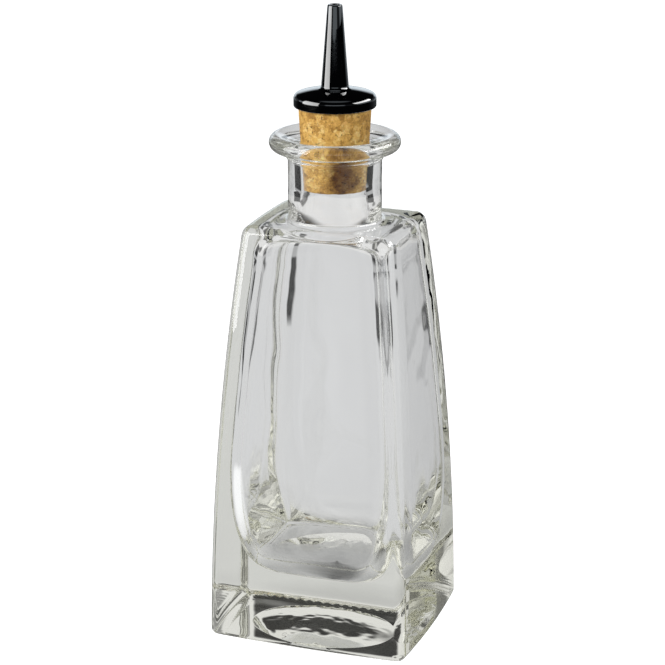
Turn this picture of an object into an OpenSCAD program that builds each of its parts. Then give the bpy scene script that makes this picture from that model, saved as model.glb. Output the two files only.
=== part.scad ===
// Bitters bottle: a tapered, thick-based glass bottle with a flanged mouth,
// closed by a cork that carries a metal dasher top.
// The origin is the middle of the foot, on the table. +Z is up, the wide face looks along -Y.

/* [Body] */
// Width at the foot, across the middle of the left and right faces
foot_w = 66.5; // [60:0.5:80]
// Depth at the foot, across the middle of the front and back faces
foot_d = 59.5; // [54:0.5:72]
// Width at the shoulder
shoulder_w = 48.3; // [42:0.1:56]
// Depth at the shoulder
shoulder_d = 38.3; // [37:0.1:52]
// Height of the shoulder above the table
shoulder_h = 132; // [110:1:170]
// Lean of the left and right faces where they leave the foot, in degrees
side_lean = 0.6; // [0:0.1:2]
// Lean of the front and back faces where they leave the foot, in degrees
face_lean = 1.1; // [0:0.1:2]
// How far each face bows out at the foot
foot_bow = 1; // [0.3:0.1:2]
// How far each face bows out at the shoulder
shoulder_bow = 0.4; // [0.2:0.1:1]
// Radius of the upright edges
edge_r = 3.2; // [2.8:0.1:6]
// Radius of the heel, where the faces turn under
heel_r = 2.2; // [1:0.1:2.6]
// Radius round the edge of the shoulder
shoulder_r = 2.8; // [1.5:0.1:3]
// Least width of the flat ring that the bottle stands on
bearing_w = 4.6; // [3:0.2:7]
// Height of the round hollow pushed up under the base
pushup_h = 2.4; // [0.6:0.1:3]

/* [Inside] */
// Thickness of the glass under the cavity
base_t = 20.5; // [12:0.5:30]
// Thickness of the walls
wall_t = 3.5; // [2.4:0.1:5]
// Thickness of the shoulder
shoulder_t = 3.4; // [2.4:0.1:5]
// Extra thickness of the walls at the floor of the cavity
toe_t = 12; // [6:0.5:14]
// Height over which that extra thickness runs out
toe_h = 36; // [20:1:50]
// Radius of the cavity's upright corners
cavity_r = 9; // [5:0.5:12]
// Height over which the cavity's walls turn in under the shoulder
crown_h = 9; // [5:0.5:14]
// Height of the flare that leads the cavity into the neck
flare_h = 6; // [3:0.5:9]

/* [Neck and lip] */
// Outside diameter of the neck
neck_d = 28.6; // [26:0.1:30]
// Length of the neck between the shoulder and the lip
neck_h = 21.6; // [18:0.2:30]
// Radius where the neck rises from the shoulder
neck_fillet_r = 1.4; // [0.6:0.1:1.8]
// Diameter of the lip
lip_d = 40; // [36:0.2:46]
// Thickness of the lip at its rounded rim
lip_t = 4.9; // [3.6:0.1:6]
// Slope of the lip's dished top, in degrees
lip_dish = 22; // [8:1:26]
// Radius under the lip
lip_fillet_r = 1.6; // [0.6:0.1:2.4]
// Radius of the thin mould bead round the neck under the lip
bead_r = 0.45; // [0.3:0.05:0.8]
// Distance of that bead below the lip
bead_drop = 2.2; // [1.6:0.1:4]
// Radius round the mouth's inner edge
mouth_r = 0.8; // [0.3:0.1:1.2]

/* [Cork] */
// Diameter of the cork at its top
cork_top_d = 22.2; // [21:0.1:23]
// Diameter of the cork at its foot
cork_foot_d = 19.2; // [18:0.1:20.4]
// Length of the cork
cork_h = 24.8; // [20:0.2:30]
// Length of cork that stands above the lip
cork_show = 8.4; // [5:0.2:12]
// Bevel on the cork's two edges
cork_bevel = 0.5; // [0.2:0.1:1]
// Gap between the cork and its tapered seat in the neck, on the radius
seat_gap = 0.06; // [0.02:0.01:0.1]

/* [Dasher top] */
// Diameter of the cap
cap_d = 25; // [24:0.1:30]
// Height of the cap's side
cap_side_h = 3.7; // [3:0.1:5]
// Rise of the cap's domed top
cap_dome_h = 1.1; // [0.6:0.1:2]
// Radius round the cap's upper edge
cap_edge_r = 1.1; // [0.5:0.1:1.4]
// Radius round the cap's lower edge
cap_foot_r = 0.4; // [0.2:0.1:0.8]
// Length of the nozzle above the cap
nozzle_h = 25.9; // [20:0.2:32]
// Diameter of the nozzle at the cap
nozzle_foot_d = 8.4; // [8:0.1:10]
// Diameter of the nozzle at its tip
nozzle_tip_d = 4.5; // [4:0.1:6]
// Diameter of the hole in the tip
nozzle_hole_d = 2.7; // [2:0.1:3]
// Radius where the nozzle rises from the cap
nozzle_fillet_r = 1.2; // [0.6:0.1:2]

/* [Feed tube] */
// Outside diameter of the tube through the cork
tube_d = 6; // [5:0.1:6.4]
// Bore of the tube
tube_bore_d = 4.4; // [3.4:0.1:4.8]
// Depth of the tube's socket, above the cork
socket_h = 6.5; // [4:0.5:9]
// Diameter of the flange that holds the cork up against the cap
flange_d = 11; // [9:0.5:14]
// Thickness of that flange
flange_t = 0.8; // [0.6:0.1:1.2]
// Gap round the tube in the cork and in its socket, on the radius
tube_gap = 0.04; // [0.02:0.01:0.1]

/* [Hidden] */
$fn = 96;

// Steps of the lofted glass: along a face, round a corner, and up each curve
face_steps = 3;
corner_steps = 7;
heel_steps = 4;
body_steps = 10;
toe_steps = 7;
wall_steps = 7;
crown_steps = 5;
flare_steps = 4;
// Smallest corner that an inset outline keeps
least_r = 0.35;
// Share of the way from the cavity's wall to the bore that the crown covers
crown_share = 0.55;
// Overlap of shapes that are joined or cut, and the same where there is little room
lap = 1;
small_lap = 0.35;
// Steps of a circle so large that only a short arc of it is used
fine_fn = 720;

// Round hollow under the base: its radius at the table, and the radius of its dome
pushup_r = min(foot_w, foot_d) / 2 - heel_r - bearing_w;
pushup_dome_r = (pushup_r ^ 2 + pushup_h ^ 2) / (2 * pushup_h);

neck_r = neck_d / 2;
lip_top_z = shoulder_h + neck_h + lip_t;
rim_r = lip_t / 2;
rim_x = lip_d / 2 - rim_r;
rim_z = lip_top_z - rim_r;
// Where the dished top leaves the rounded rim, and its height at any radius
dish_x = rim_x - rim_r * sin(lip_dish);
dish_z = rim_z + rim_r * cos(lip_dish);
function dish_at(x) = dish_z - (dish_x - x) * tan(lip_dish);

cork_top_z = lip_top_z + cork_show;
cork_foot_z = cork_top_z - cork_h;
function cork_r_at(z) = (cork_foot_d + (cork_top_d - cork_foot_d) * (z - cork_foot_z) / cork_h) / 2;
function seat_r_at(z) = cork_r_at(z) + seat_gap;
// The bore runs straight below the cork, and the flared cavity opens into it
bore_r = seat_r_at(cork_foot_z);
bore_foot_z = shoulder_h + flare_h / 2;

cap_r = cap_d / 2;
cap_z = cork_top_z;
cap_top_z = cap_z + cap_side_h + cap_dome_h;
dome_r = (cap_r ^ 2 + cap_dome_h ^ 2) / (2 * cap_dome_h);
nozzle_top_z = cap_top_z + nozzle_h;
tube_r = tube_d / 2;

// Half of a body outline's width or depth at height z
function half_at(foot, shoulder, lean, z) =
    let (t = z / shoulder_h, lean_drop = shoulder_h * tan(lean))
    foot / 2 - lean_drop * t - ((foot - shoulder) / 2 - lean_drop) * t ^ 2;
function half_w(z) = half_at(foot_w, shoulder_w, side_lean, z);
function half_d(z) = half_at(foot_d, shoulder_d, face_lean, z);
function bow_at(z) = foot_bow + (shoulder_bow - foot_bow) * z / shoulder_h;

// Radius of a face that bows out by bow between two upright edges
function face_r(half, bow) = ((half - edge_r) ^ 2 + bow ^ 2) / (2 * bow);

// One quarter of an outline, from the X axis to the Y axis: two bowed faces of radius rx and ry
// at distances w and d from the middle, joined by a corner of radius r that is tangent to both
function quarter(w, d, r, rx, ry) =
    let (
        a = [w - rx, 0],
        b = [0, d - ry],
        e = (b - a) / norm(b - a),
        along = ((rx - r) ^ 2 - (ry - r) ^ 2 + norm(b - a) ^ 2) / (2 * norm(b - a)),
        across = sqrt((rx - r) ^ 2 - along ^ 2),
        c = a + along * e + across * [-e.y, e.x],
        tx = atan2(c.y, c.x - a.x),
        ty = atan2(c.y - b.y, c.x)
    )
    concat(
        [for (i = [0:face_steps - 1]) let (t = tx * i / face_steps) a + rx * [cos(t), sin(t)]],
        [for (i = [0:corner_steps]) let (t = tx + (ty - tx) * i / corner_steps) c + r * [cos(t), sin(t)]],
        [for (i = [1:face_steps]) let (t = ty + (90 - ty) * i / face_steps) b + ry * [cos(t), sin(t)]]
    );
// The body's outline at height z moved inwards by inset, with corners of radius r,
// anticlockwise from the +X axis
function outline(z, inset, r) =
    let (
        w = half_w(z),
        d = half_d(z),
        corner = min(r, (min(w, d) - inset) * 0.9),
        rx = face_r(d, bow_at(z)),
        ry = face_r(w, bow_at(z)),
        q = quarter(w - inset, d - inset, corner, rx - inset, ry - inset),
        n = len(q) - 1
    )
    concat(
        [for (i = [0:n - 1]) q[i]],
        [for (i = [0:n - 1]) [-q[n - i].x, q[n - i].y]],
        [for (i = [0:n - 1]) [-q[i].x, -q[i].y]],
        [for (i = [0:n - 1]) [q[n - i].x, -q[n - i].y]]
    );
function raised(points, z) = [for (p = points) [p.x, p.y, z]];
function body_ring(z, inset = 0) = raised(outline(z, inset, max(edge_r - inset, least_r)), z);
// The cavity's outline at height z, where the walls are thicker by extra
function cavity_ring(z, extra) = raised(outline(z, wall_t + extra, cavity_r), z);

// A closed solid through rings of points that are all the same length
module loft(rings) {
    n = len(rings[0]);
    last = len(rings) - 1;
    polyhedron(
        points = [for (ring = rings) each ring],
        faces = concat(
            [[for (i = [0:n - 1]) i]],
            [for (k = [0:last - 1], i = [0:n - 1]) let (j = (i + 1) % n) [k * n + i, (k + 1) * n + j, k * n + j]],
            [for (k = [0:last - 1], i = [0:n - 1]) let (j = (i + 1) % n)
                [k * n + i, (k + 1) * n + i, (k + 1) * n + j]],
            [[for (i = [n - 1:-1:0]) last * n + i]]
        )
    );
}

// Outside of the body: flat foot, heel, curved taper and soft shoulder
module body_blank() {
    loft(concat(
        [for (i = [0:heel_steps]) let (t = 90 * i / heel_steps)
            body_ring(heel_r * (1 - cos(t)), heel_r * (1 - sin(t)))],
        [for (i = [1:body_steps - 1])
            body_ring(heel_r + (shoulder_h - shoulder_r - heel_r) * i / body_steps)],
        [for (i = [0:heel_steps]) let (t = 90 * i / heel_steps)
            body_ring(shoulder_h - shoulder_r * (1 - sin(t)), shoulder_r * (1 - cos(t)))]
    ));
}

// Section of the round hollow under the base
module pushup_profile() {
    intersection() {
        translate([0, pushup_h - pushup_dome_r]) circle(r = pushup_dome_r, $fn = fine_fn);
        translate([0, -lap]) square([2 * pushup_r, pushup_h + lap]);
    }
}

// Inside of the body: a rounded floor over the thick base, walls that follow the outside,
// a crown under the shoulder and a flare from the four-sided cavity to the round bore
module cavity() {
    crown_z = shoulder_h - shoulder_t - crown_h;
    ceiling_z = shoulder_h - shoulder_t;
    floor_top_z = base_t + toe_h;
    wall = cavity_ring(crown_z, 0);
    // The flare stops just short of the bore, so that the two surfaces cross cleanly
    hole = [for (w = wall) let (a = atan2(w.y, w.x)) (bore_r - small_lap) * [cos(a), sin(a)]];
    function blend(s, z) = [for (i = [0:len(wall) - 1]) let (w = wall[i], h = hole[i])
        [w.x + (h.x - w.x) * s, w.y + (h.y - w.y) * s, z]];
    loft(concat(
        [for (i = [0:toe_steps]) let (t = 90 * i / toe_steps)
            cavity_ring(base_t + toe_h * (1 - cos(t)), toe_t * (1 - sin(t)))],
        [for (i = [1:wall_steps]) cavity_ring(floor_top_z + (crown_z - floor_top_z) * i / wall_steps, 0)],
        [for (i = [1:crown_steps]) let (t = 90 * i / crown_steps)
            blend(crown_share * (1 - cos(t)), crown_z + crown_h * sin(t))],
        [for (i = [1:flare_steps]) let (t = 90 * i / flare_steps)
            blend(crown_share + (1 - crown_share) * sin(t),
                ceiling_z + (bore_foot_z - ceiling_z) * (1 - cos(t)))],
        [blend(1, bore_foot_z + lap)]
    ));
}

// Section of the solid neck and lip
module neck_profile() {
    lip_z = shoulder_h + neck_h;
    foot_r = min(neck_fillet_r, (min(shoulder_w, shoulder_d) - neck_d) / 2 - shoulder_r);
    translate([0, shoulder_h - lap]) square([neck_r, neck_h + lap]);
    translate([rim_x, rim_z]) circle(r = rim_r);
    polygon([[0, lip_z], [rim_x, lip_z], [rim_x, rim_z], [dish_x, dish_z], [0, dish_at(0)]]);
    translate([neck_r, shoulder_h - lap]) difference() {
        square([foot_r, foot_r + lap]);
        translate([foot_r, foot_r + lap]) circle(r = foot_r);
    }
    translate([neck_r, lip_z - lip_fillet_r]) difference() {
        square([lip_fillet_r, lip_fillet_r]);
        translate([lip_fillet_r, 0]) circle(r = lip_fillet_r);
    }
    translate([neck_r, lip_z - bead_drop]) circle(r = bead_r);
}

// Section of the hole through the neck: rounded mouth, tapered seat, straight bore
module bore_profile() {
    edge_x = seat_r_at(lip_top_z - rim_r);
    edge_z = dish_at(edge_x + mouth_r);
    polygon([
        [0, bore_foot_z],
        [bore_r, bore_foot_z],
        [bore_r, cork_foot_z],
        [seat_r_at(cork_top_z), cork_top_z],
        [0, cork_top_z]
    ]);
    difference() {
        translate([edge_x - mouth_r, edge_z - mouth_r]) square([2 * mouth_r, 3 * mouth_r]);
        translate([edge_x + mouth_r, edge_z - mouth_r]) circle(r = mouth_r);
    }
}

module glass_bottle() {
    color([0.86, 0.9, 0.88, 0.45]) difference() {
        union() {
            body_blank();
            rotate_extrude() neck_profile();
        }
        cavity();
        rotate_extrude() bore_profile();
        rotate_extrude() pushup_profile();
    }
}

module cork_stopper() {
    top_r = cork_top_d / 2;
    foot_r = cork_foot_d / 2;
    hole_r = tube_r + tube_gap;
    color([0.78, 0.6, 0.4]) translate([0, 0, cork_foot_z]) rotate_extrude() polygon([
        [hole_r, 0],
        [foot_r - cork_bevel, 0],
        [cork_r_at(cork_foot_z + cork_bevel), cork_bevel],
        [cork_r_at(cork_top_z - cork_bevel), cork_h - cork_bevel],
        [top_r - cork_bevel, cork_h],
        [hole_r, cork_h]
    ]);
}

// Section of the cap: flat underside, soft lower edge, and a dome that turns down into the side
module cap_profile() {
    edge_x = cap_r - cap_edge_r;
    dome_z = cap_top_z - dome_r;
    edge_z = dome_z + sqrt((dome_r - cap_edge_r) ^ 2 - edge_x ^ 2);
    meet_x = edge_x * dome_r / (dome_r - cap_edge_r);
    intersection() {
        translate([0, dome_z]) circle(r = dome_r, $fn = fine_fn);
        translate([0, cap_z]) square([meet_x, cap_side_h + cap_dome_h]);
    }
    translate([edge_x, edge_z]) circle(r = cap_edge_r);
    translate([0, cap_z + cap_foot_r]) square([cap_r, edge_z - cap_z - cap_foot_r]);
    translate([0, cap_z]) square([cap_r - cap_foot_r, cap_foot_r + small_lap]);
    translate([cap_r - cap_foot_r, cap_z + cap_foot_r]) circle(r = cap_foot_r);
}

// Section of the nozzle: a cone with a rounded tip and a fillet at the cap
module nozzle_profile() {
    foot_r = nozzle_foot_d / 2;
    tip_r = nozzle_tip_d / 2;
    wall = (nozzle_tip_d - nozzle_hole_d) / 4;
    lean = atan2(foot_r - tip_r, nozzle_h);
    function side_at(z) = foot_r - (z - cap_top_z) * tan(lean);
    // The dome falls away a little under the fillet
    fillet_x = side_at(cap_top_z + nozzle_fillet_r) + nozzle_fillet_r / cos(lean);
    seat_z = cap_top_z - dome_r + sqrt(dome_r ^ 2 - fillet_x ^ 2);
    polygon([
        [0, cap_z + cap_side_h],
        [side_at(seat_z), seat_z - small_lap],
        [side_at(seat_z), seat_z],
        [side_at(nozzle_top_z - wall), nozzle_top_z - wall],
        [tip_r - wall, nozzle_top_z - wall],
        [tip_r - wall, nozzle_top_z],
        [0, nozzle_top_z]
    ]);
    translate([tip_r - wall, nozzle_top_z - wall]) circle(r = wall);
    difference() {
        translate([foot_r - lap, seat_z - small_lap])
            square([fillet_x - foot_r + lap, nozzle_fillet_r + small_lap]);
        translate([fillet_x, seat_z + nozzle_fillet_r]) circle(r = nozzle_fillet_r);
    }
}

module dasher_top() {
    socket_r = tube_r + tube_gap;
    feed_r = tube_bore_d / 2;
    hole_r = nozzle_hole_d / 2;
    color([0.05, 0.05, 0.06]) rotate_extrude() difference() {
        union() {
            cap_profile();
            nozzle_profile();
        }
        polygon([
            [0, cap_z - lap],
            [socket_r, cap_z - lap],
            [socket_r, cap_z + socket_h],
            [feed_r, cap_z + socket_h],
            [hole_r, nozzle_top_z - lap],
            [hole_r, nozzle_top_z + lap],
            [0, nozzle_top_z + lap]
        ]);
    }
}

module feed_tube() {
    bore_r = tube_bore_d / 2;
    edge = flange_t / 2;
    color([0.72, 0.73, 0.74]) translate([0, 0, cork_foot_z]) rotate_extrude() {
        translate([bore_r, -flange_t]) square([tube_r - bore_r, cork_h + socket_h + flange_t - tube_gap]);
        translate([bore_r, -flange_t]) square([flange_d / 2 - edge - bore_r, flange_t]);
        translate([flange_d / 2 - edge, -edge]) circle(r = edge);
    }
}

glass_bottle();
cork_stopper();
dasher_top();
feed_tube();
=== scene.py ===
# Bitters bottle: a clear glass bottle with a tapered cork and a black dasher top,
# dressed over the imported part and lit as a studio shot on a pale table
import math
import bpy
import bmesh
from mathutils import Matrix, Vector, noise


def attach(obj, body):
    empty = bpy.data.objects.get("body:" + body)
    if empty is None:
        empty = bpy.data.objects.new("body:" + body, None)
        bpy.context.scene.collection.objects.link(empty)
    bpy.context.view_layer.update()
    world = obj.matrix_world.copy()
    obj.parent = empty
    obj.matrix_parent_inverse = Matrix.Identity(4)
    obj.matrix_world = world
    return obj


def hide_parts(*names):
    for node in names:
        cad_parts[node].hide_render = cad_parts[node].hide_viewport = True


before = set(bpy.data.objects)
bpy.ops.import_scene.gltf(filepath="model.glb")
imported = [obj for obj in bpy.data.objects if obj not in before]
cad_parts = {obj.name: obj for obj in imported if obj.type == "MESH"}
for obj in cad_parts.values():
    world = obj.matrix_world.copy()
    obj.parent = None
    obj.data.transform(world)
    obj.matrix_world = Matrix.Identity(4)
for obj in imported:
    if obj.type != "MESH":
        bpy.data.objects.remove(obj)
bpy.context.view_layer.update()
scene = bpy.context.scene
print("frame loaded:", ", ".join(sorted(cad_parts)))


def colour(code):
    # linear colour of a screen colour written as six hex digits
    parts = [int(code[i:i + 2], 16) / 255 for i in (0, 2, 4)]
    return tuple(c / 12.92 if c <= 0.04045 else ((c + 0.055) / 1.055) ** 2.4 for c in parts) + (1,)


def arc(x, z, radius, start, end, steps):
    # points round a centre in a section, angles in degrees
    angles = [math.radians(start + (end - start) * i / steps) for i in range(steps + 1)]
    return [(x + radius * math.cos(a), z + radius * math.sin(a)) for a in angles]


def handOver(bm, name, material, body, nodes):
    # closes the mesh, turns its faces outwards and puts it on its body, in metres
    bmesh.ops.remove_doubles(bm, verts=bm.verts, dist=0.0005)
    bmesh.ops.recalc_face_normals(bm, faces=bm.faces)
    bmesh.ops.scale(bm, vec=(0.001, 0.001, 0.001), verts=bm.verts)
    for face in bm.faces:
        face.smooth = True
    mesh = bpy.data.meshes.new(name)
    bm.to_mesh(mesh)
    bm.free()
    mesh.materials.append(material)
    piece = bpy.data.objects.new(name, mesh)
    scene.collection.objects.link(piece)
    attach(piece, body)
    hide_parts(*nodes)
    print("made", name, "with", len(mesh.polygons), "faces")
    return piece


def addNode(tree, kind, inputs=None, **settings):
    node = tree.nodes.new(kind)
    for key, value in settings.items():
        setattr(node, key, value)
    for key, value in (inputs or {}).items():
        if isinstance(value, bpy.types.NodeSocket):
            tree.links.new(value, node.inputs[key])
        else:
            node.inputs[key].default_value = value
    return node


def maths(tree, operation, a, b=0.0, c=0.0):
    return addNode(tree, "ShaderNodeMath", {0: a, 1: b, 2: c}, operation=operation).outputs[0]


def ramp(tree, factor, stops, smooth=False):
    node = addNode(tree, "ShaderNodeValToRGB", {"Fac": factor})
    node.color_ramp.interpolation = "EASE" if smooth else "LINEAR"
    while len(node.color_ramp.elements) < len(stops):
        node.color_ramp.elements.new(0.5)
    for element, (place, value) in zip(node.color_ramp.elements, stops):
        element.position = place
        element.color = value if isinstance(value, tuple) else (value, value, value, 1)
    return node.outputs["Color"]


def blendColour(tree, factor, a, b, mode="MIX"):
    node = addNode(tree, "ShaderNodeMix", data_type="RGBA", blend_type=mode)
    for socket, value in ((node.inputs[0], factor), (node.inputs[6], a), (node.inputs[7], b)):
        if isinstance(value, bpy.types.NodeSocket):
            tree.links.new(value, socket)
        else:
            socket.default_value = value
    return node.outputs[2]


def newMaterial(name):
    material = bpy.data.materials.new(name)
    material.use_nodes = True
    tree = material.node_tree
    shader = tree.nodes["Principled BSDF"]
    place = addNode(tree, "ShaderNodeTexCoord").outputs["Object"]
    return material, tree, shader, place


# Faint wear that the lacquered and the bare metal share: soft smears and fine scratches
wearGroup = bpy.data.node_groups.new("handlingWear", "ShaderNodeTree")
for socketName, kind, direction in (
        ("Place", "NodeSocketVector", "INPUT"), ("Smear Size", "NodeSocketFloat", "INPUT"),
        ("Scratch Size", "NodeSocketFloat", "INPUT"), ("Low", "NodeSocketFloat", "INPUT"),
        ("High", "NodeSocketFloat", "INPUT"), ("Roughness", "NodeSocketFloat", "OUTPUT"),
        ("Height", "NodeSocketFloat", "OUTPUT")):
    wearGroup.interface.new_socket(name=socketName, in_out=direction, socket_type=kind)
wearIn = wearGroup.nodes.new("NodeGroupInput").outputs
wearOut = wearGroup.nodes.new("NodeGroupOutput")
smear = addNode(wearGroup, "ShaderNodeTexNoise", {
    "Vector": wearIn["Place"], "Scale": wearIn["Smear Size"], "Detail": 5.0, "Roughness": 0.6}).outputs["Fac"]
scratchPlace = addNode(wearGroup, "ShaderNodeMapping", {
    "Vector": wearIn["Place"], "Rotation": (0.3, 0.2, 0.0), "Scale": (1.0, 1.0, 0.04)}).outputs[0]
scratch = addNode(wearGroup, "ShaderNodeTexNoise", {
    "Vector": scratchPlace, "Scale": wearIn["Scratch Size"], "Detail": 3.0}).outputs["Fac"]
scratch = ramp(wearGroup, scratch, [(0.62, 0.0), (0.74, 1.0)])
mixed = maths(wearGroup, "MULTIPLY_ADD", scratch, 0.35, smear)
wearGroup.links.new(addNode(wearGroup, "ShaderNodeMapRange", {
    "Value": mixed, "From Min": 0.35, "From Max": 0.95,
    "To Min": wearIn["Low"], "To Max": wearIn["High"]}).outputs[0], wearOut.inputs["Roughness"])
wearGroup.links.new(mixed, wearOut.inputs["Height"])


def addWear(tree, place, values):
    node = addNode(tree, "ShaderNodeGroup", node_tree=wearGroup)
    tree.links.new(place, node.inputs["Place"])
    for key, value in values.items():
        node.inputs[key].default_value = value
    return node


glassLook = {
    "tint": "f5f5e8", "density": 10.0,      # colour of the thick glass, and how fast it deepens
    "ior": 1.5,
    "waveSize": 55.0, "waveDepth": 0.00022,  # slow waves left by the mould, per metre and in metres
    "rippleSize": 200.0, "rippleShare": 0.014,
}


def makeGlass(look):
    material, tree, shader, place = newMaterial("clearGlass")
    shader.inputs["Base Color"].default_value = (1, 1, 1, 1)
    shader.inputs["Roughness"].default_value = 0.0
    shader.inputs["IOR"].default_value = look["ior"]
    shader.inputs["Transmission Weight"].default_value = 1.0
    wave = addNode(tree, "ShaderNodeTexNoise", {
        "Vector": place, "Scale": look["waveSize"], "Detail": 1.5, "Roughness": 0.4}).outputs["Fac"]
    ripple = addNode(tree, "ShaderNodeTexNoise", {
        "Vector": place, "Scale": look["rippleSize"], "Detail": 2.0, "Distortion": 0.4}).outputs["Fac"]
    height = maths(tree, "MULTIPLY_ADD", ripple, look["rippleShare"], wave)
    bump = addNode(tree, "ShaderNodeBump", {
        "Strength": 1.0, "Distance": look["waveDepth"], "Height": height})
    tree.links.new(bump.outputs[0], shader.inputs["Normal"])
    path = addNode(tree, "ShaderNodeLightPath")
    clear = addNode(tree, "ShaderNodeBsdfTransparent", {"Color": (0.97, 0.98, 0.975, 1)})
    soft = addNode(tree, "ShaderNodeMixShader", {0: path.outputs["Is Diffuse Ray"], 1: shader.outputs[0], 2: clear.outputs[0]})
    lamps = addNode(tree, "ShaderNodeMixShader", {0: path.outputs["Is Shadow Ray"], 1: soft.outputs[0], 2: clear.outputs[0]})
    depth = addNode(tree, "ShaderNodeVolumeAbsorption", {"Color": colour(look["tint"]), "Density": look["density"]})
    out = tree.nodes["Material Output"]
    tree.links.new(lamps.outputs[0], out.inputs["Surface"])
    tree.links.new(depth.outputs[0], out.inputs["Volume"])
    return material


corkLook = {
    "pale": "e8c27c", "light": "d6a659", "mid": "c0924a", "deep": "9c7136",
    "joint": "84592a", "speck": "4a2c14",
    "paintedShade": "6a5138", "paintedShadeAt": (0.0058, -0.0082, 0.1478),  # painted shade: centre of the shadow painted low on the cork's front right, inside the neck
    "paintedShadeTall": 0.62,                  # below 1 the painted shade is taller than wide
    "granule": 400.0, "crumb": 950.0,   # large and small granules per metre
    "roughness": 0.82,
}


def makeCork(look):
    material, tree, shader, place = newMaterial("granulatedCork")
    drift = addNode(tree, "ShaderNodeTexNoise", {"Vector": place, "Scale": 700.0, "Detail": 5.0, "Roughness": 0.65}).outputs["Color"]
    drift = addNode(tree, "ShaderNodeVectorMath", {0: drift, 1: (0.5, 0.5, 0.5)}, operation="SUBTRACT").outputs[0]
    drift = addNode(tree, "ShaderNodeVectorMath", {0: drift, "Scale": 0.0034}, operation="SCALE").outputs[0]
    warped = addNode(tree, "ShaderNodeVectorMath", {0: place, 1: drift}, operation="ADD").outputs[0]
    cell = addNode(tree, "ShaderNodeTexVoronoi", {"Vector": warped, "Scale": look["granule"]})
    tone = addNode(tree, "ShaderNodeSeparateColor", {0: cell.outputs["Color"]})
    crumb = addNode(tree, "ShaderNodeTexVoronoi", {"Vector": warped, "Scale": look["crumb"]}, feature="SMOOTH_F1")
    crumbTone = addNode(tree, "ShaderNodeSeparateColor", {0: crumb.outputs["Color"]}).outputs[1]
    shade = maths(tree, "MULTIPLY_ADD", crumbTone, 0.45, maths(tree, "MULTIPLY", tone.outputs[0], 0.55))
    base = ramp(tree, shade, [
        (0.12, colour(look["deep"])), (0.34, colour(look["mid"])), (0.58, colour(look["light"])), (0.85, colour(look["pale"]))])
    grain = addNode(tree, "ShaderNodeTexNoise", {"Vector": place, "Scale": 1900.0, "Detail": 7.0, "Roughness": 0.7}).outputs["Fac"]
    base = blendColour(tree, 0.8, base, ramp(tree, grain, [(0.3, 0.3), (0.7, 0.76)]), "OVERLAY")
    edge = addNode(tree, "ShaderNodeTexVoronoi", {"Vector": warped, "Scale": look["granule"]}, feature="DISTANCE_TO_EDGE")
    patchy = addNode(tree, "ShaderNodeTexNoise", {"Vector": place, "Scale": 260.0, "Detail": 3.0}).outputs["Fac"]
    jointMask = ramp(tree, edge.outputs["Distance"], [(0.0, 0.6), (0.07, 0.0)])
    jointMask = maths(tree, "MULTIPLY", jointMask, ramp(tree, patchy, [(0.42, 0.0), (0.62, 1.0)]))
    base = blendColour(tree, jointMask, base, colour(look["joint"]))
    pores = addNode(tree, "ShaderNodeTexNoise", {"Vector": warped, "Scale": 820.0, "Detail": 4.0, "Roughness": 0.6}).outputs["Fac"]
    poreMask = ramp(tree, pores, [(0.6, 0.0), (0.68, 0.85)])
    base = blendColour(tree, poreMask, base, colour(look["speck"]))
    # painted shade: the cork is darkened round a point low on its front right, standing in for the shadow it lies in
    # inside the neck
    squeeze = (1, 1, look["paintedShadeTall"])
    away = addNode(tree, "ShaderNodeVectorMath", {0: place, 1: squeeze, 2: [-a * k for a, k in zip(look["paintedShadeAt"], squeeze)]}, operation="MULTIPLY_ADD").outputs[0]
    away = addNode(tree, "ShaderNodeVectorMath", {0: away}, operation="LENGTH").outputs["Value"]
    away = maths(tree, "MULTIPLY_ADD", patchy, 0.008, maths(tree, "MULTIPLY_ADD", grain, 0.003, away))
    paintedShade = ramp(tree, maths(tree, "MULTIPLY", away, 50.0), [(0.34, 0.95), (0.62, 0.0)], smooth=True)
    base = blendColour(tree, paintedShade, base, colour(look["paintedShade"]), "MULTIPLY")
    tree.links.new(base, shader.inputs["Base Color"])
    height = maths(tree, "MULTIPLY_ADD", jointMask, -0.5, grain)
    height = maths(tree, "MULTIPLY_ADD", poreMask, -0.9, height)
    bump = addNode(tree, "ShaderNodeBump", {"Strength": 0.8, "Distance": 0.00022, "Height": height})
    tree.links.new(bump.outputs[0], shader.inputs["Normal"])
    tree.links.new(ramp(tree, grain, [(0.2, look["roughness"] - 0.1), (0.8, look["roughness"] + 0.08)]), shader.inputs["Roughness"])
    shader.inputs["Specular IOR Level"].default_value = 0.15
    return material


lacquerLook = {"shade": "020203", "coat": 1.0, "peelSize": 700.0, "peelDepth": 0.000004}


def makeLacquer(look):
    material, tree, shader, place = newMaterial("blackLacquer")
    wear = addWear(tree, place, {"Smear Size": 160.0, "Scratch Size": 1500.0, "Low": 0.035, "High": 0.11})
    shader.inputs["Base Color"].default_value = colour(look["shade"])
    shader.inputs["IOR"].default_value = 1.5
    shader.inputs["Coat Weight"].default_value = look["coat"]
    shader.inputs["Coat Roughness"].default_value = 0.02
    peel = addNode(tree, "ShaderNodeTexNoise", {"Vector": place, "Scale": look["peelSize"], "Detail": 2.0}).outputs["Fac"]
    height = maths(tree, "MULTIPLY_ADD", wear.outputs["Height"], 0.1, peel)
    bump = addNode(tree, "ShaderNodeBump", {"Strength": 1.0, "Distance": look["peelDepth"], "Height": height})
    tree.links.new(wear.outputs["Roughness"], shader.inputs["Roughness"])
    tree.links.new(bump.outputs[0], shader.inputs["Normal"])
    return material


steelLook = {"shade": "c3c4c6", "brush": 5200.0}


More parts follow.
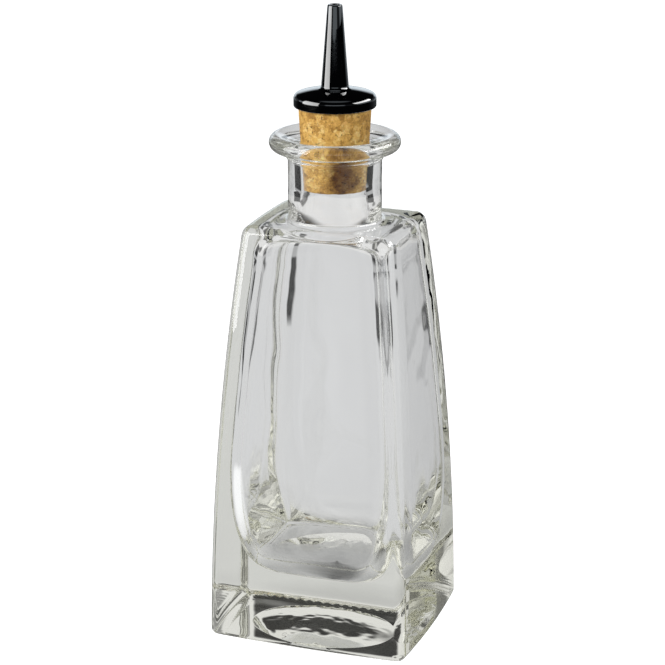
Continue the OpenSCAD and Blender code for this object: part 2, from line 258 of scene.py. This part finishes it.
def makeSteel(look):
    material, tree, shader, place = newMaterial("plainSteel")
    wear = addWear(tree, place, {"Smear Size": 240.0, "Scratch Size": 2400.0, "Low": 0.2, "High": 0.42})
    shader.inputs["Base Color"].default_value = colour(look["shade"])
    shader.inputs["Metallic"].default_value = 1.0
    lines = addNode(tree, "ShaderNodeMapping", {"Vector": place, "Scale": (1.0, 1.0, 0.03)}).outputs[0]
    brushed = addNode(tree, "ShaderNodeTexNoise", {"Vector": lines, "Scale": look["brush"], "Detail": 2.0}).outputs["Fac"]
    height = maths(tree, "MULTIPLY_ADD", wear.outputs["Height"], 0.2, brushed)
    bump = addNode(tree, "ShaderNodeBump", {"Strength": 0.5, "Distance": 0.00001, "Height": height})
    tree.links.new(wear.outputs["Roughness"], shader.inputs["Roughness"])
    tree.links.new(bump.outputs[0], shader.inputs["Normal"])
    return material


clearGlass = makeGlass(glassLook)
granulatedCork = makeCork(corkLook)
blackLacquer = makeLacquer(lacquerLook)
plainSteel = makeSteel(steelLook)
print("materials ready")

# The bottle, in millimetres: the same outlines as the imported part, with finer steps
bottle = {
    "footWidth": 66.5, "footDepth": 59.5, "shoulderWidth": 48.3, "shoulderDepth": 38.3,
    "shoulderHeight": 132.0, "sideLean": 0.6, "faceLean": 1.1, "footBow": 1.0, "shoulderBow": 0.4,
    "edge": 3.2, "heel": 2.2, "shoulderEdge": 2.8, "bearing": 4.6, "pushUp": 2.4,
    "base": 20.5, "wall": 3.5, "shoulderGlass": 3.4, "toe": 12.0, "toeHeight": 36.0,
    "cavityCorner": 9.0, "crown": 9.0, "throat": 141.0, "throatSpread": 5.0,
    "neck": 14.3, "neckHeight": 21.6, "neckFoot": 1.4, "lip": 20.0, "lipHeight": 4.9, "dish": 22.0,
    "lipUnder": 1.6, "bead": 0.45, "beadDrop": 2.2, "mouth": 0.8, "seatTop": 11.16, "seatFoot": 9.66,
    "corkFoot": 142.1, "corkTop": 166.9,
    "faceSteps": 19, "cornerSteps": 10, "guard": 0.25,   # guard: spacing beside a tangent line
    "waver": 0.2, "waverSize": 12.0,                      # unevenness of the inside of the glass
    "dimple": 0.4,                                       # depth of the dimples in the foot ring
    "stipple": 0.11, "stippleSize": 5.5,                  # texture of the hollow under the foot
}


def halfAt(foot, shoulder, lean, z):
    t = z / bottle["shoulderHeight"]
    drop = bottle["shoulderHeight"] * math.tan(math.radians(lean))
    return foot / 2 - drop * t - ((foot - shoulder) / 2 - drop) * t * t


def quarterOutline(w, d, r, rx, ry):
    # two bowed faces joined by a corner that is tangent to both, from the X axis to the Y axis
    a, b = Vector((w - rx, 0)), Vector((0, d - ry))
    e = (b - a).normalized()
    span = (b - a).length
    along = ((rx - r) ** 2 - (ry - r) ** 2 + span ** 2) / (2 * span)
    across = math.sqrt((rx - r) ** 2 - along ** 2)
    c = a + along * e + across * Vector((-e.y, e.x))
    tx, ty = math.atan2(c.y, c.x - a.x), math.atan2(c.y - b.y, c.x)
    steps, guard = bottle["faceSteps"], bottle["guard"]
    sweep = [(a, rx, (tx - guard / rx) * i / steps) for i in range(steps + 1)]
    sweep += [(c, r, tx + (ty - tx) * i / bottle["cornerSteps"]) for i in range(bottle["cornerSteps"] + 1)]
    start = ty + guard / ry
    sweep += [(b, ry, start + (math.pi / 2 - start) * i / steps) for i in range(steps + 1)]
    return [Vector((m.x + radius * math.cos(t), m.y + radius * math.sin(t))) for m, radius, t in sweep]


def outline(z, inset, r):
    # one closed ring round the body at height z, moved inwards by inset
    w = halfAt(bottle["footWidth"], bottle["shoulderWidth"], bottle["sideLean"], z)
    d = halfAt(bottle["footDepth"], bottle["shoulderDepth"], bottle["faceLean"], z)
    bow = bottle["footBow"] + (bottle["shoulderBow"] - bottle["footBow"]) * z / bottle["shoulderHeight"]
    rx = ((d - bottle["edge"]) ** 2 + bow ** 2) / (2 * bow)
    ry = ((w - bottle["edge"]) ** 2 + bow ** 2) / (2 * bow)
    q = quarterOutline(w - inset, d - inset, min(r, (min(w, d) - inset) * 0.9), rx - inset, ry - inset)
    ring = [Vector((p.x, p.y, z)) for p in q[:-1]]
    ring += [Vector((-p.x, p.y, z)) for p in reversed(q[1:])]
    ring += [Vector((-p.x, -p.y, z)) for p in q[:-1]]
    ring += [Vector((p.x, -p.y, z)) for p in reversed(q[1:])]
    return ring


def bodyRing(z, inset=0.0):
    return outline(z, inset, max(bottle["edge"] - inset, 0.35))


def cavityRing(z, extra):
    return outline(z, bottle["wall"] + extra, bottle["cavityCorner"])


def roundRing(radius, z, count):
    return [Vector((radius * math.cos(2 * math.pi * i / count), radius * math.sin(2 * math.pi * i / count), z))
            for i in range(count)]


def extrudeRing(bm, ring, places):
    # the next ring of the glass: the last one's edges extruded, and each point put in its place
    edges = [bm.edges.get((ring[i], ring[i - 1])) for i in range(len(ring))]
    fresh = {v for v in bmesh.ops.extrude_edge_only(bm, edges=edges)["geom"] if isinstance(v, bmesh.types.BMVert)}
    following = []
    for vert, place in zip(ring, places):
        twin = next(e.other_vert(vert) for e in vert.link_edges if e.other_vert(vert) in fresh)
        twin.co = place
        following.append(twin)
    return following


def outerRings(count):
    b = bottle
    hollow = min(b["footWidth"], b["footDepth"]) / 2 - b["heel"] - b["bearing"]
    domeR = (hollow ** 2 + b["pushUp"] ** 2) / (2 * b["pushUp"])
    reaches = [hollow * k / 40 for k in range(1, 40)] + [hollow - 0.25, hollow]
    rings = [roundRing(x, b["pushUp"] - domeR + math.sqrt(domeR ** 2 - x ** 2), count) for x in reaches]
    for x, ring in zip(reaches, rings[:-2]):  # the hollow keeps the texture of the mould
        for p in ring:
            grainy = noise.noise(p / b["stippleSize"]) + 0.45 * noise.noise(p * 2.3 / b["stippleSize"] + Vector((5, 1, 8)))
            p.z += b["stipple"] * grainy * (1 - (x / hollow) ** 6)
    rings.append(roundRing(hollow + 0.25, 0, count))
    for inset in (5.6, 5.1, 4.1, 3.1, b["heel"] + 0.3):
        rings.append(bodyRing(0, inset))
    perQuarter = count // 4
    for i, p in enumerate(rings[-3]):  # a row of small dimples in the foot ring
        along = min(i % perQuarter, perQuarter - i % perQuarter)
        if along < b["faceSteps"] - 1 and i % 2:
            p.z += b["dimple"]
    for i in range(9):
        t = math.radians(90 * i / 8)
        rings.append(bodyRing(b["heel"] * (1 - math.cos(t)), b["heel"] * (1 - math.sin(t))))
    top = b["shoulderHeight"] - b["shoulderEdge"]
    rings.append(bodyRing(b["heel"] + 0.3))
    for i in range(1, 28):
        rings.append(bodyRing(b["heel"] + (top - b["heel"]) * i / 28))
    rings.append(bodyRing(top - 0.3))
    for i in range(10):
        t = math.radians(10 * i)
        rings.append(bodyRing(b["shoulderHeight"] - b["shoulderEdge"] * (1 - math.sin(t)), b["shoulderEdge"] * (1 - math.cos(t))))
    rings.append(bodyRing(b["shoulderHeight"], b["shoulderEdge"] + 0.3))
    return rings


def neckSection():
    # outside of the neck and lip, then down through the mouth and the seat of the cork
    b = bottle
    lipZ = b["shoulderHeight"] + b["neckHeight"]
    rimR = b["lipHeight"] / 2
    rimX, rimZ = b["lip"] - rimR, lipZ + rimR
    beadZ = lipZ - b["beadDrop"]
    slope = math.radians(b["dish"])
    dishX, dishZ = rimX - rimR * math.sin(slope), rimZ + rimR * math.cos(slope)
    taper = (b["seatTop"] - b["seatFoot"]) / (b["corkTop"] - b["corkFoot"])
    edgeX = b["seatFoot"] + (rimZ - b["corkFoot"]) * taper
    mouthX = edgeX + b["mouth"]
    mouthZ = dishZ - (dishX - mouthX) * math.tan(slope) - b["mouth"]
    section = [(b["neck"] + b["neckFoot"] + 0.3, b["shoulderHeight"])]
    section += arc(b["neck"] + b["neckFoot"], b["shoulderHeight"] + b["neckFoot"], b["neckFoot"], 270, 180, 8)
    section += [(b["neck"], b["shoulderHeight"] + b["neckFoot"] + 0.3)]
    section += [(b["neck"], b["shoulderHeight"] + b["neckFoot"] + 1 + 1.6 * i) for i in range(1, 10)]
    section += [(b["neck"], beadZ - 0.8)]
    section += arc(b["neck"], beadZ, b["bead"], -90, 90, 8)
    section += arc(b["neck"] + b["lipUnder"], lipZ - b["lipUnder"], b["lipUnder"], 180, 90, 8)
    section += [(b["neck"] + b["lipUnder"] + 0.3, lipZ), (rimX - 0.3, lipZ)]
    section += arc(rimX, rimZ, rimR, -90, 90 + b["dish"], 24)
    section += [(dishX - 0.3, dishZ - 0.3 * math.tan(slope))]
    section += [(mouthX + 0.6, mouthZ + b["mouth"] + 0.6 * math.tan(slope))]
    section += arc(mouthX, mouthZ, b["mouth"], 90 + b["dish"] * 0.5, 180, 7)
    section += [(b["seatFoot"] + (z - b["corkFoot"]) * taper, z) for z in (mouthZ - 0.4, 152.0, 149.0, 146.0, 143.5)]
    section += [(b["seatFoot"], b["corkFoot"]), (b["seatFoot"], b["corkFoot"] - 0.5)]
    return section


def cavityRings(count):
    # flare below the bore, crown, walls and the rounded toe of the thick base, from the top down
    b = bottle
    crownZ = b["shoulderHeight"] - b["shoulderGlass"] - b["crown"]
    ceilingZ = b["shoulderHeight"] - b["shoulderGlass"]
    wall = cavityRing(crownZ, 0)

    def between(share, z):
        # from the four-sided wall towards the round bore, which opens downwards like a trumpet
        fall = min(1.0, (b["throat"] - z) / (b["throat"] - ceilingZ))
        reach = b["seatFoot"] + b["throatSpread"] * fall ** 2
        return [Vector((w.x, w.y, 0)).lerp(Vector((w.x, w.y, 0)).normalized() * reach, share) + Vector((0, 0, z)) for w in wall]

    rings = []
    for i in range(18, 0, -1):
        t = math.radians(5 * i)
        rings.append(between(0.55 + 0.45 * math.sin(t), ceilingZ + (b["throat"] - ceilingZ) * (1 - math.cos(t))))
    for i in range(12, 0, -1):
        t = math.radians(7.5 * i)
        rings.append(between(0.55 * (1 - math.cos(t)), crownZ + b["crown"] * math.sin(t)))
    toeTop = b["base"] + b["toeHeight"]
    rings += [cavityRing(crownZ + (toeTop - crownZ) * i / 24, 0) for i in range(24)]
    for i in range(20, -1, -1):
        t = math.radians(4.5 * i)
        rings.append(cavityRing(b["base"] + b["toeHeight"] * (1 - math.cos(t)), b["toe"] * (1 - math.sin(t))))
    floorRing = rings[-1]
    rings += [[Vector((p.x * s, p.y * s, p.z)) for p in floorRing] for s in (0.97, 0.7, 0.4, 0.15)]
    for ring in rings[14:]:  # pressed glass is never quite even on the inside
        for p in ring:
            push = noise.noise(p / b["waverSize"]) + 0.15 * noise.noise(p / (b["waverSize"] * 0.4) + Vector((7, 3, 1)))
            out = Vector((p.x, p.y, 0)).normalized()
            p += out * push * b["waver"]
    return rings


def makeBottle():
    bm = bmesh.new()
    first = outline(0, 0, bottle["edge"])
    count = len(first)
    rings = outerRings(count)
    rings += [roundRing(x, z, count) for x, z in neckSection()]
    rings += cavityRings(count)
    start = bmesh.ops.create_circle(bm, cap_ends=False, radius=1.0, segments=count)["verts"]
    for vert, place in zip(start, rings[0]):
        vert.co = place
    ring = start
    for places in rings[1:]:
        ring = extrudeRing(bm, ring, places)
    for end in (start, ring):  # close both poles
        z = sum(p.co.z for p in end) / count
        centre = extrudeRing(bm, end, [p.co * 0.02 for p in end])
        bmesh.ops.pointmerge(bm, verts=centre, merge_co=(0, 0, z))
    return handOver(bm, "bottleGlass", clearGlass, "bottle", ["glass_bottle"])


cork = {"top": 11.1, "foot": 9.6, "low": 142.1, "high": 166.9, "bevel": 0.5, "hole": 3.04,
        "granule": 2.1, "groove": 0.09, "pit": 0.4, "turns": 176}


def spinSection(bm, section, steps):
    # a closed section turned once round the Z axis
    verts = [bm.verts.new((x, 0, z)) for x, z in section]
    edges = [bm.edges.new((verts[i - 1], verts[i])) for i in range(len(verts))]
    bmesh.ops.spin(bm, geom=verts + edges, cent=(0, 0, 0), axis=(0, 0, 1), dvec=(0, 0, 0),
                   angle=2 * math.pi, steps=steps, use_merge=True)


def makeCorkPlug():
    c = cork
    rows = 58
    side = [(c["foot"] + (c["top"] - c["foot"]) * i / rows, c["low"] + (c["high"] - c["low"]) * i / rows) for i in range(rows + 1)]
    section = [(c["hole"], c["low"])] + [(c["hole"] + (c["foot"] - c["bevel"] - c["hole"]) * i / 12, c["low"]) for i in range(1, 13)]
    section += [p for p in side if c["low"] + c["bevel"] - 0.1 < p[1] < c["high"] - c["bevel"] + 0.1]
    section += [(c["top"] - c["bevel"] - (c["top"] - c["bevel"] - c["hole"]) * i / 14, c["high"]) for i in range(15)]
    bm = bmesh.new()
    spinSection(bm, section, c["turns"])
    for vert in bm.verts:  # joints between granules and torn-out pits, always inwards
        p = vert.co
        radial = math.hypot(p.x, p.y)
        if radial < c["hole"] + 0.3:
            continue
        spread = noise.voronoi(p / c["granule"])[0]
        groove = max(0.0, 1 - (spread[1] - spread[0]) / 0.22)
        tear = max(0.0, noise.noise(p * 0.62 + Vector((3, 9, 4))) - 0.32) * 2.2
        depth = c["groove"] * groove + c["pit"] * min(tear, 1.0) + 0.03 * abs(noise.noise(p * 2.5))
        inner = Vector((p.x, p.y, 0)).normalized() * -depth
        if p.z > c["high"] - 0.05:
            inner = Vector((0, 0, -depth)) + inner * 0.3
        elif p.z < c["low"] + 0.05:
            inner = Vector((0, 0, depth)) + inner * 0.3
        vert.co += inner
    return handOver(bm, "corkPlug", granulatedCork, "stopper", ["cork_stopper"])


dasher = {"cap": 12.5, "low": 166.9, "side": 3.7, "dome": 1.9, "edge": 1.6, "foot": 0.4,
          "nozzle": 25.1, "nozzleFoot": 4.2, "nozzleTip": 2.25, "hole": 1.35, "fillet": 1.2,
          "socket": 3.04, "socketHeight": 6.5, "feed": 2.2, "turns": 160}


def makeDasher():
    d = dasher
    top = d["low"] + d["side"] + d["dome"]
    tip = top + d["nozzle"]
    domeR = (d["cap"] ** 2 + d["dome"] ** 2) / (2 * d["dome"])
    domeZ = top - domeR
    edgeX = d["cap"] - d["edge"]
    edgeZ = domeZ + math.sqrt((domeR - d["edge"]) ** 2 - edgeX ** 2)
    meet = math.degrees(math.atan2(edgeZ - domeZ, edgeX))
    wall = (d["nozzleTip"] - d["hole"]) / 2
    lean = math.atan2(d["nozzleFoot"] - d["nozzleTip"], d["nozzle"])

    def sideAt(z):
        return d["nozzleFoot"] - (z - top) * math.tan(lean)

    filletX = sideAt(top + d["fillet"]) + d["fillet"] / math.cos(lean)
    filletZ = domeZ + math.sqrt(domeR ** 2 - filletX ** 2) + d["fillet"]
    section = arc(d["cap"] - d["foot"], d["low"] + d["foot"], d["foot"], -90, 0, 6)
    section += [(d["cap"], d["low"] + d["foot"] + 0.2), (d["cap"], edgeZ - 0.2)]
    section += arc(edgeX, edgeZ, d["edge"], 0, meet, 10)
    section += [(x, domeZ + math.sqrt(domeR ** 2 - x ** 2)) for x in
                [edgeX * domeR / (domeR - d["edge"]) - 0.15] + [edgeX - 0.6 - (edgeX - 0.6 - filletX - 0.15) * i / 8 for i in range(9)]]
    section += arc(filletX, filletZ, d["fillet"], 270, 180 - math.degrees(lean), 9)
    section += [(sideAt(z), z) for z in (filletZ + 0.4, top + 6, top + 12, top + 18, tip - wall - 0.3)]
    section += arc(d["nozzleTip"] - wall, tip - wall, wall, 0, 90, 6)[0:]
    section += arc(d["hole"] + 0.25, tip - 0.25, 0.25, 90, 180, 4)
    section += [(d["hole"], tip - 1.0), (d["feed"], d["low"] + d["socketHeight"]),
                (d["socket"], d["low"] + d["socketHeight"]), (d["socket"], d["low"])]
    bm = bmesh.new()
    spinSection(bm, section, d["turns"])
    return handOver(bm, "dasherCap", blackLacquer, "stopper", ["dasher_top"])


feedTube = {"radius": 3.0, "bore": 2.2, "low": 142.1, "high": 173.36, "flange": 5.5, "flangeHeight": 0.8, "turns": 96}


def makeFeedPipe():
    f = feedTube
    half = f["flangeHeight"] / 2
    section = arc(f["flange"] - half, f["low"] - half, half, -90, 90, 8)
    section += [(f["radius"] + 0.1, f["low"]), (f["radius"], f["low"] + 0.1), (f["radius"], f["high"] - 0.1),
                (f["radius"] - 0.1, f["high"]), (f["bore"] + 0.1, f["high"]), (f["bore"], f["high"] - 0.1),
                (f["bore"], f["low"] - 2 * half + 0.1), (f["bore"] + 0.1, f["low"] - 2 * half)]
    bm = bmesh.new()
    spinSection(bm, section, f["turns"])
    return handOver(bm, "feedPipe", plainSteel, "stopper", ["feed_tube"])


makeBottle()
makeCorkPlug()
makeDasher()
makeFeedPipe()

# The camera stands where the photograph was taken
view = {"side": 19.39, "distance": 0.667705, "height": 0.311285, "tilt": 17.928, "lens": 122.34, "shift": -0.003675}
camera = bpy.data.objects.new("camera", bpy.data.cameras.new("camera"))
scene.collection.objects.link(camera)
bearing = math.radians(view["side"])
camera.location = (view["distance"] * math.sin(bearing), -view["distance"] * math.cos(bearing), view["height"])
camera.rotation_euler = (math.radians(90 - view["tilt"]), 0, bearing)
camera.data.sensor_width = 36
camera.data.lens = view["lens"]
camera.data.shift_x = view["shift"]
scene.camera = camera

studio = {
    "table": 0.66, "tableGlow": 1.0,             # the pale table as the camera sees it
    "through": 0.7, "throughDark": 0.02,         # the table as seen through glass, and in its far gaps
    "middle": -7,                                # degrees from straight behind to the middle of the gaps
    "gap": [(26, 0), (29, 1), (62, 1), (68, 0)],  # the gaps, by degrees to each side of that middle,
    "gapReach": [(0.33, 0), (0.36, 1), (0.42, 1), (0.46, 0.4), (0.65, 0.4), (0.8, 1)],  # by metres out,
    "gapRise": [(-1, 0.85), (13, 0.85), (18, 0)],  # and by degrees up the walls
    "front": [(140, 0), (176, 1)], "frontDark": 0.35,  # the dim room behind the camera, and its share of light
    "under": 0.46,                               # the table in the shade right under the foot
    "spill": 0.35, "spillAt": 0.13,              # light of the left lamp on the table, and how far out it falls
    "mirrored": 0.006, "mirroredFar": 0.6,       # the table as the black cap mirrors it, near, and far behind
    "mirroredTurn": [(30, 1), (65, 0)],          # by degrees to each side of straight behind
    "sweep": 1.1, "sweepDark": 0.1, "upper": 0.003,  # the walls as mirrored: low band, its gaps, and above it
    "overhead": 0.5,
    "backdrop": 0.8,                             # the walls as seen through glass, and the cards before them:
    # degrees to the left of straight behind, degrees up, radius, soft edge, brightness
    "cards": [(-105, 4, 16, 22, 0.48), (-130, 27, 10, 12, 0.2), (-47, 45, 5, 5, 0.14), (-33, 22, 4, 6, 0.3),
              (4, 34, 9, 7, 0.04),
              (-74, 26, 6, 6, 0.15), (68, 14, 6, 6, 0.2), (136, 18, 10, 8, 0.25), (104, 32, 16, 10, 1.1)],
}


def turnAt(tree, x, y, stops):
    # a value by the turn to either side of straight behind, in degrees
    turn = maths(tree, "SUBTRACT", maths(tree, "ARCTAN2", y, x), bearing + math.radians(90 + studio["middle"]))
    turn = maths(tree, "ABSOLUTE", maths(tree, "WRAP", turn, math.pi, -math.pi))
    return ramp(tree, maths(tree, "DIVIDE", turn, math.pi), [(d / 180, v) for d, v in stops])


def dimFront(tree, x, y, light):
    # the same light, fainter on the camera's side
    return addNode(tree, "ShaderNodeMapRange", {
        "Value": turnAt(tree, x, y, studio["front"]), "To Min": light, "To Max": maths(tree, "MULTIPLY", light, studio["frontDark"])}).outputs[0]


def lobes(tree, x, y):
    # four bright directions round the table, turned to the camera, with darker gaps between
    turn = maths(tree, "ARCTAN2", y, x)
    turn = maths(tree, "SUBTRACT", turn, bearing)
    wave = maths(tree, "COSINE", maths(tree, "MULTIPLY", turn, 4.0))
    return addNode(tree, "ShaderNodeMapRange", {"Value": wave, "From Min": -0.55, "From Max": -0.05}, interpolation_type="SMOOTHSTEP").outputs[0]


def makeTable():
    bm = bmesh.new()
    bmesh.ops.create_grid(bm, x_segments=1, y_segments=1, size=6.0)
    mesh = bpy.data.meshes.new("table")
    bm.to_mesh(mesh)
    bm.free()
    for vert in mesh.vertices:
        vert.co.z = -0.0001  # just clear of the foot
    table = bpy.data.objects.new("table", mesh)
    scene.collection.objects.link(table)
    material = bpy.data.materials.new("paleTable")
    material.use_nodes = True
    tree = material.node_tree
    tree.nodes.clear()
    place = addNode(tree, "ShaderNodeTexCoord").outputs["Object"]
    axes = addNode(tree, "ShaderNodeSeparateXYZ", {0: place})
    x, y = axes.outputs[0], axes.outputs[1]
    reach = addNode(tree, "ShaderNodeVectorMath", {0: place}, operation="LENGTH").outputs["Value"]
    far = ramp(tree, reach, studio["gapReach"], smooth=True)
    gaps = maths(tree, "MULTIPLY", far, turnAt(tree, x, y, studio["gap"]))
    through = addNode(tree, "ShaderNodeMapRange", {
        "Value": gaps, "To Min": studio["through"], "To Max": studio["throughDark"]}).outputs[0]
    shade = addNode(tree, "ShaderNodeMapRange", {
        "Value": reach, "From Min": 0.024, "From Max": 0.046, "To Min": studio["under"] / studio["through"], "To Max": 1.0}).outputs[0]
    through = maths(tree, "MULTIPLY", dimFront(tree, x, y, through), shade)
    spillAt = (-studio["spillAt"] * math.cos(bearing), -studio["spillAt"] * math.sin(bearing), 0)
    apart = addNode(tree, "ShaderNodeVectorMath", {0: place, 1: spillAt}, operation="DISTANCE").outputs["Value"]
    spill = addNode(tree, "ShaderNodeMapRange", {
        "Value": apart, "From Min": 0.05, "From Max": 0.11, "To Min": studio["spill"], "To Max": 0.0}, interpolation_type="SMOOTHSTEP").outputs[0]
    through = maths(tree, "ADD", through, spill)
    tint = blendColour(tree, 1.0, (0.975, 0.985, 1.0, 1), through, "MULTIPLY")
    seenThrough = addNode(tree, "ShaderNodeEmission", {"Color": tint})
    away = addNode(tree, "ShaderNodeMapRange", {
        "Value": reach, "From Min": 0.7, "From Max": 1.5, "To Min": 0.0, "To Max": studio["mirroredFar"]}).outputs[0]
    away = maths(tree, "MULTIPLY_ADD", away, turnAt(tree, x, y, studio["mirroredTurn"]), studio["mirrored"])
    mirrored = addNode(tree, "ShaderNodeEmission", {"Color": (0.84, 0.93, 1, 1), "Strength": away})
    mottle = addNode(tree, "ShaderNodeTexNoise", {"Vector": place, "Scale": 60.0, "Detail": 4.0}).outputs["Fac"]
    paint = ramp(tree, mottle, [(0.3, studio["table"] * 0.985), (0.7, studio["table"])])
    matt = addNode(tree, "ShaderNodeBsdfDiffuse", {"Color": paint})
    glow = addNode(tree, "ShaderNodeEmission", {"Color": (1, 1, 1, 1), "Strength": studio["tableGlow"]})
    seen = addNode(tree, "ShaderNodeAddShader", {0: matt.outputs[0], 1: glow.outputs[0]})
    path = addNode(tree, "ShaderNodeLightPath")
    past = maths(tree, "MAXIMUM", path.outputs["Is Transmission Ray"], path.outputs["Is Diffuse Ray"])
    unseen = addNode(tree, "ShaderNodeMixShader", {0: past, 1: mirrored.outputs[0], 2: seenThrough.outputs[0]})
    both = addNode(tree, "ShaderNodeMixShader", {0: path.outputs["Is Camera Ray"], 1: unseen.outputs[0], 2: seen.outputs[0]})
    addNode(tree, "ShaderNodeOutputMaterial", {"Surface": both.outputs[0]})
    mesh.materials.append(material)


def makeWalls():
    world = bpy.data.worlds.new("walls")
    world.use_nodes = True
    scene.world = world
    tree = world.node_tree
    tree.nodes.clear()
    axes = addNode(tree, "ShaderNodeSeparateXYZ", {0: addNode(tree, "ShaderNodeTexCoord").outputs["Generated"]})
    x, y, z = axes.outputs
    band = addNode(tree, "ShaderNodeMapRange", {
        "Value": z, "From Min": 0.16, "From Max": 0.3, "To Min": 1.0, "To Max": 0.0}, interpolation_type="SMOOTHSTEP").outputs[0]
    sweep = addNode(tree, "ShaderNodeMapRange", {
        "Value": lobes(tree, x, y), "To Min": studio["sweepDark"], "To Max": studio["sweep"]}).outputs[0]
    above = addNode(tree, "ShaderNodeMapRange", {
        "Value": z, "From Min": 0.9, "From Max": 0.97, "To Min": studio["upper"], "To Max": studio["overhead"]}, interpolation_type="SMOOTHSTEP").outputs[0]
    light = blendColour(tree, 1.0, maths(tree, "ADD", maths(tree, "MULTIPLY", band, sweep), above), (0.84, 0.93, 1.0, 1), "MULTIPLY")
    path = addNode(tree, "ShaderNodeLightPath")
    direction = addNode(tree, "ShaderNodeTexCoord").outputs["Generated"]
    rising = ramp(tree, maths(tree, "MULTIPLY_ADD", z, 0.5, 0.5),
                  [((math.sin(math.radians(d)) + 1) / 2, v) for d, v in studio["gapRise"]], smooth=True)
    gaps = maths(tree, "MULTIPLY", rising, turnAt(tree, x, y, studio["gap"]))
    through = addNode(tree, "ShaderNodeMapRange", {
        "Value": gaps, "To Min": studio["backdrop"], "To Max": studio["throughDark"]}).outputs[0]
    through = dimFront(tree, x, y, through)
    for turn, rise, radius, soft, value in studio["cards"]:
        turn, rise = bearing + math.radians(90 + turn), math.radians(rise)
        towards = (math.cos(turn) * math.cos(rise), math.sin(turn) * math.cos(rise), math.sin(rise))
        facing = addNode(tree, "ShaderNodeVectorMath", {0: direction, 1: towards}, operation="DOT_PRODUCT").outputs["Value"]
        mask = addNode(tree, "ShaderNodeMapRange", {
            "Value": facing, "From Min": math.cos(math.radians(radius + soft)), "From Max": math.cos(math.radians(radius))}, interpolation_type="SMOOTHSTEP").outputs[0]
        through = blendColour(tree, mask, through, (value, value, value, 1))
    light = blendColour(tree, path.outputs["Is Transmission Ray"], light, through)
    unseen = addNode(tree, "ShaderNodeBackground", {"Color": light})
    seen = addNode(tree, "ShaderNodeBackground", {"Color": (1, 1, 1, 1)})
    both = addNode(tree, "ShaderNodeMixShader", {0: path.outputs["Is Camera Ray"], 1: unseen.outputs[0], 2: seen.outputs[0]})
    addNode(tree, "ShaderNodeOutputWorld", {"Surface": both.outputs[0]})


def softBox(name, side, lift, distance, width, height, radiance, diffuse=True, glossy=True, through=True):
    # a rectangular light that faces the bottle: side is degrees to the right of the camera
    box = bpy.data.lights.new(name, "AREA")
    box.shape = "RECTANGLE"
    box.size, box.size_y = width, height
    box.energy = radiance * math.pi * width * height
    lamp = bpy.data.objects.new(name, box)
    turn = bearing + math.radians(side)
    lamp.location = (distance * math.sin(turn), -distance * math.cos(turn), lift)
    aim = Vector((0, 0, 0.12 if lift > 0.5 else lift)) - lamp.location
    lamp.rotation_euler = aim.to_track_quat("-Z", "Y").to_euler()
    scene.collection.objects.link(lamp)
    lamp.visible_camera = False
    lamp.visible_diffuse, lamp.visible_glossy, lamp.visible_transmission = diffuse, glossy, through


makeTable()
makeWalls()
softBox("leftBox", -73, 0.40, 0.8, 0.8, 0.78, 6.0, diffuse=False, through=False)
softBox("rightBox", 90, 0.62, 0.9, 1.2, 0.4, 9.0, diffuse=False, through=False)
softBox("keyFill", -50, 0.55, 1.2, 0.9, 0.9, 6.0, glossy=False, through=False)
softBox("sideFill", 60, 0.6, 1.4, 1.0, 1.0, 2.5, glossy=False, through=False)

scene.view_settings.view_transform = "Standard"
scene.view_settings.look = "None"
scene.cycles.max_bounces = 28
scene.cycles.transmission_bounces = 24
scene.cycles.glossy_bounces = 16
scene.cycles.transparent_max_bounces = 16
scene.cycles.caustics_reflective = False
scene.cycles.caustics_refractive = False
print("studio ready")
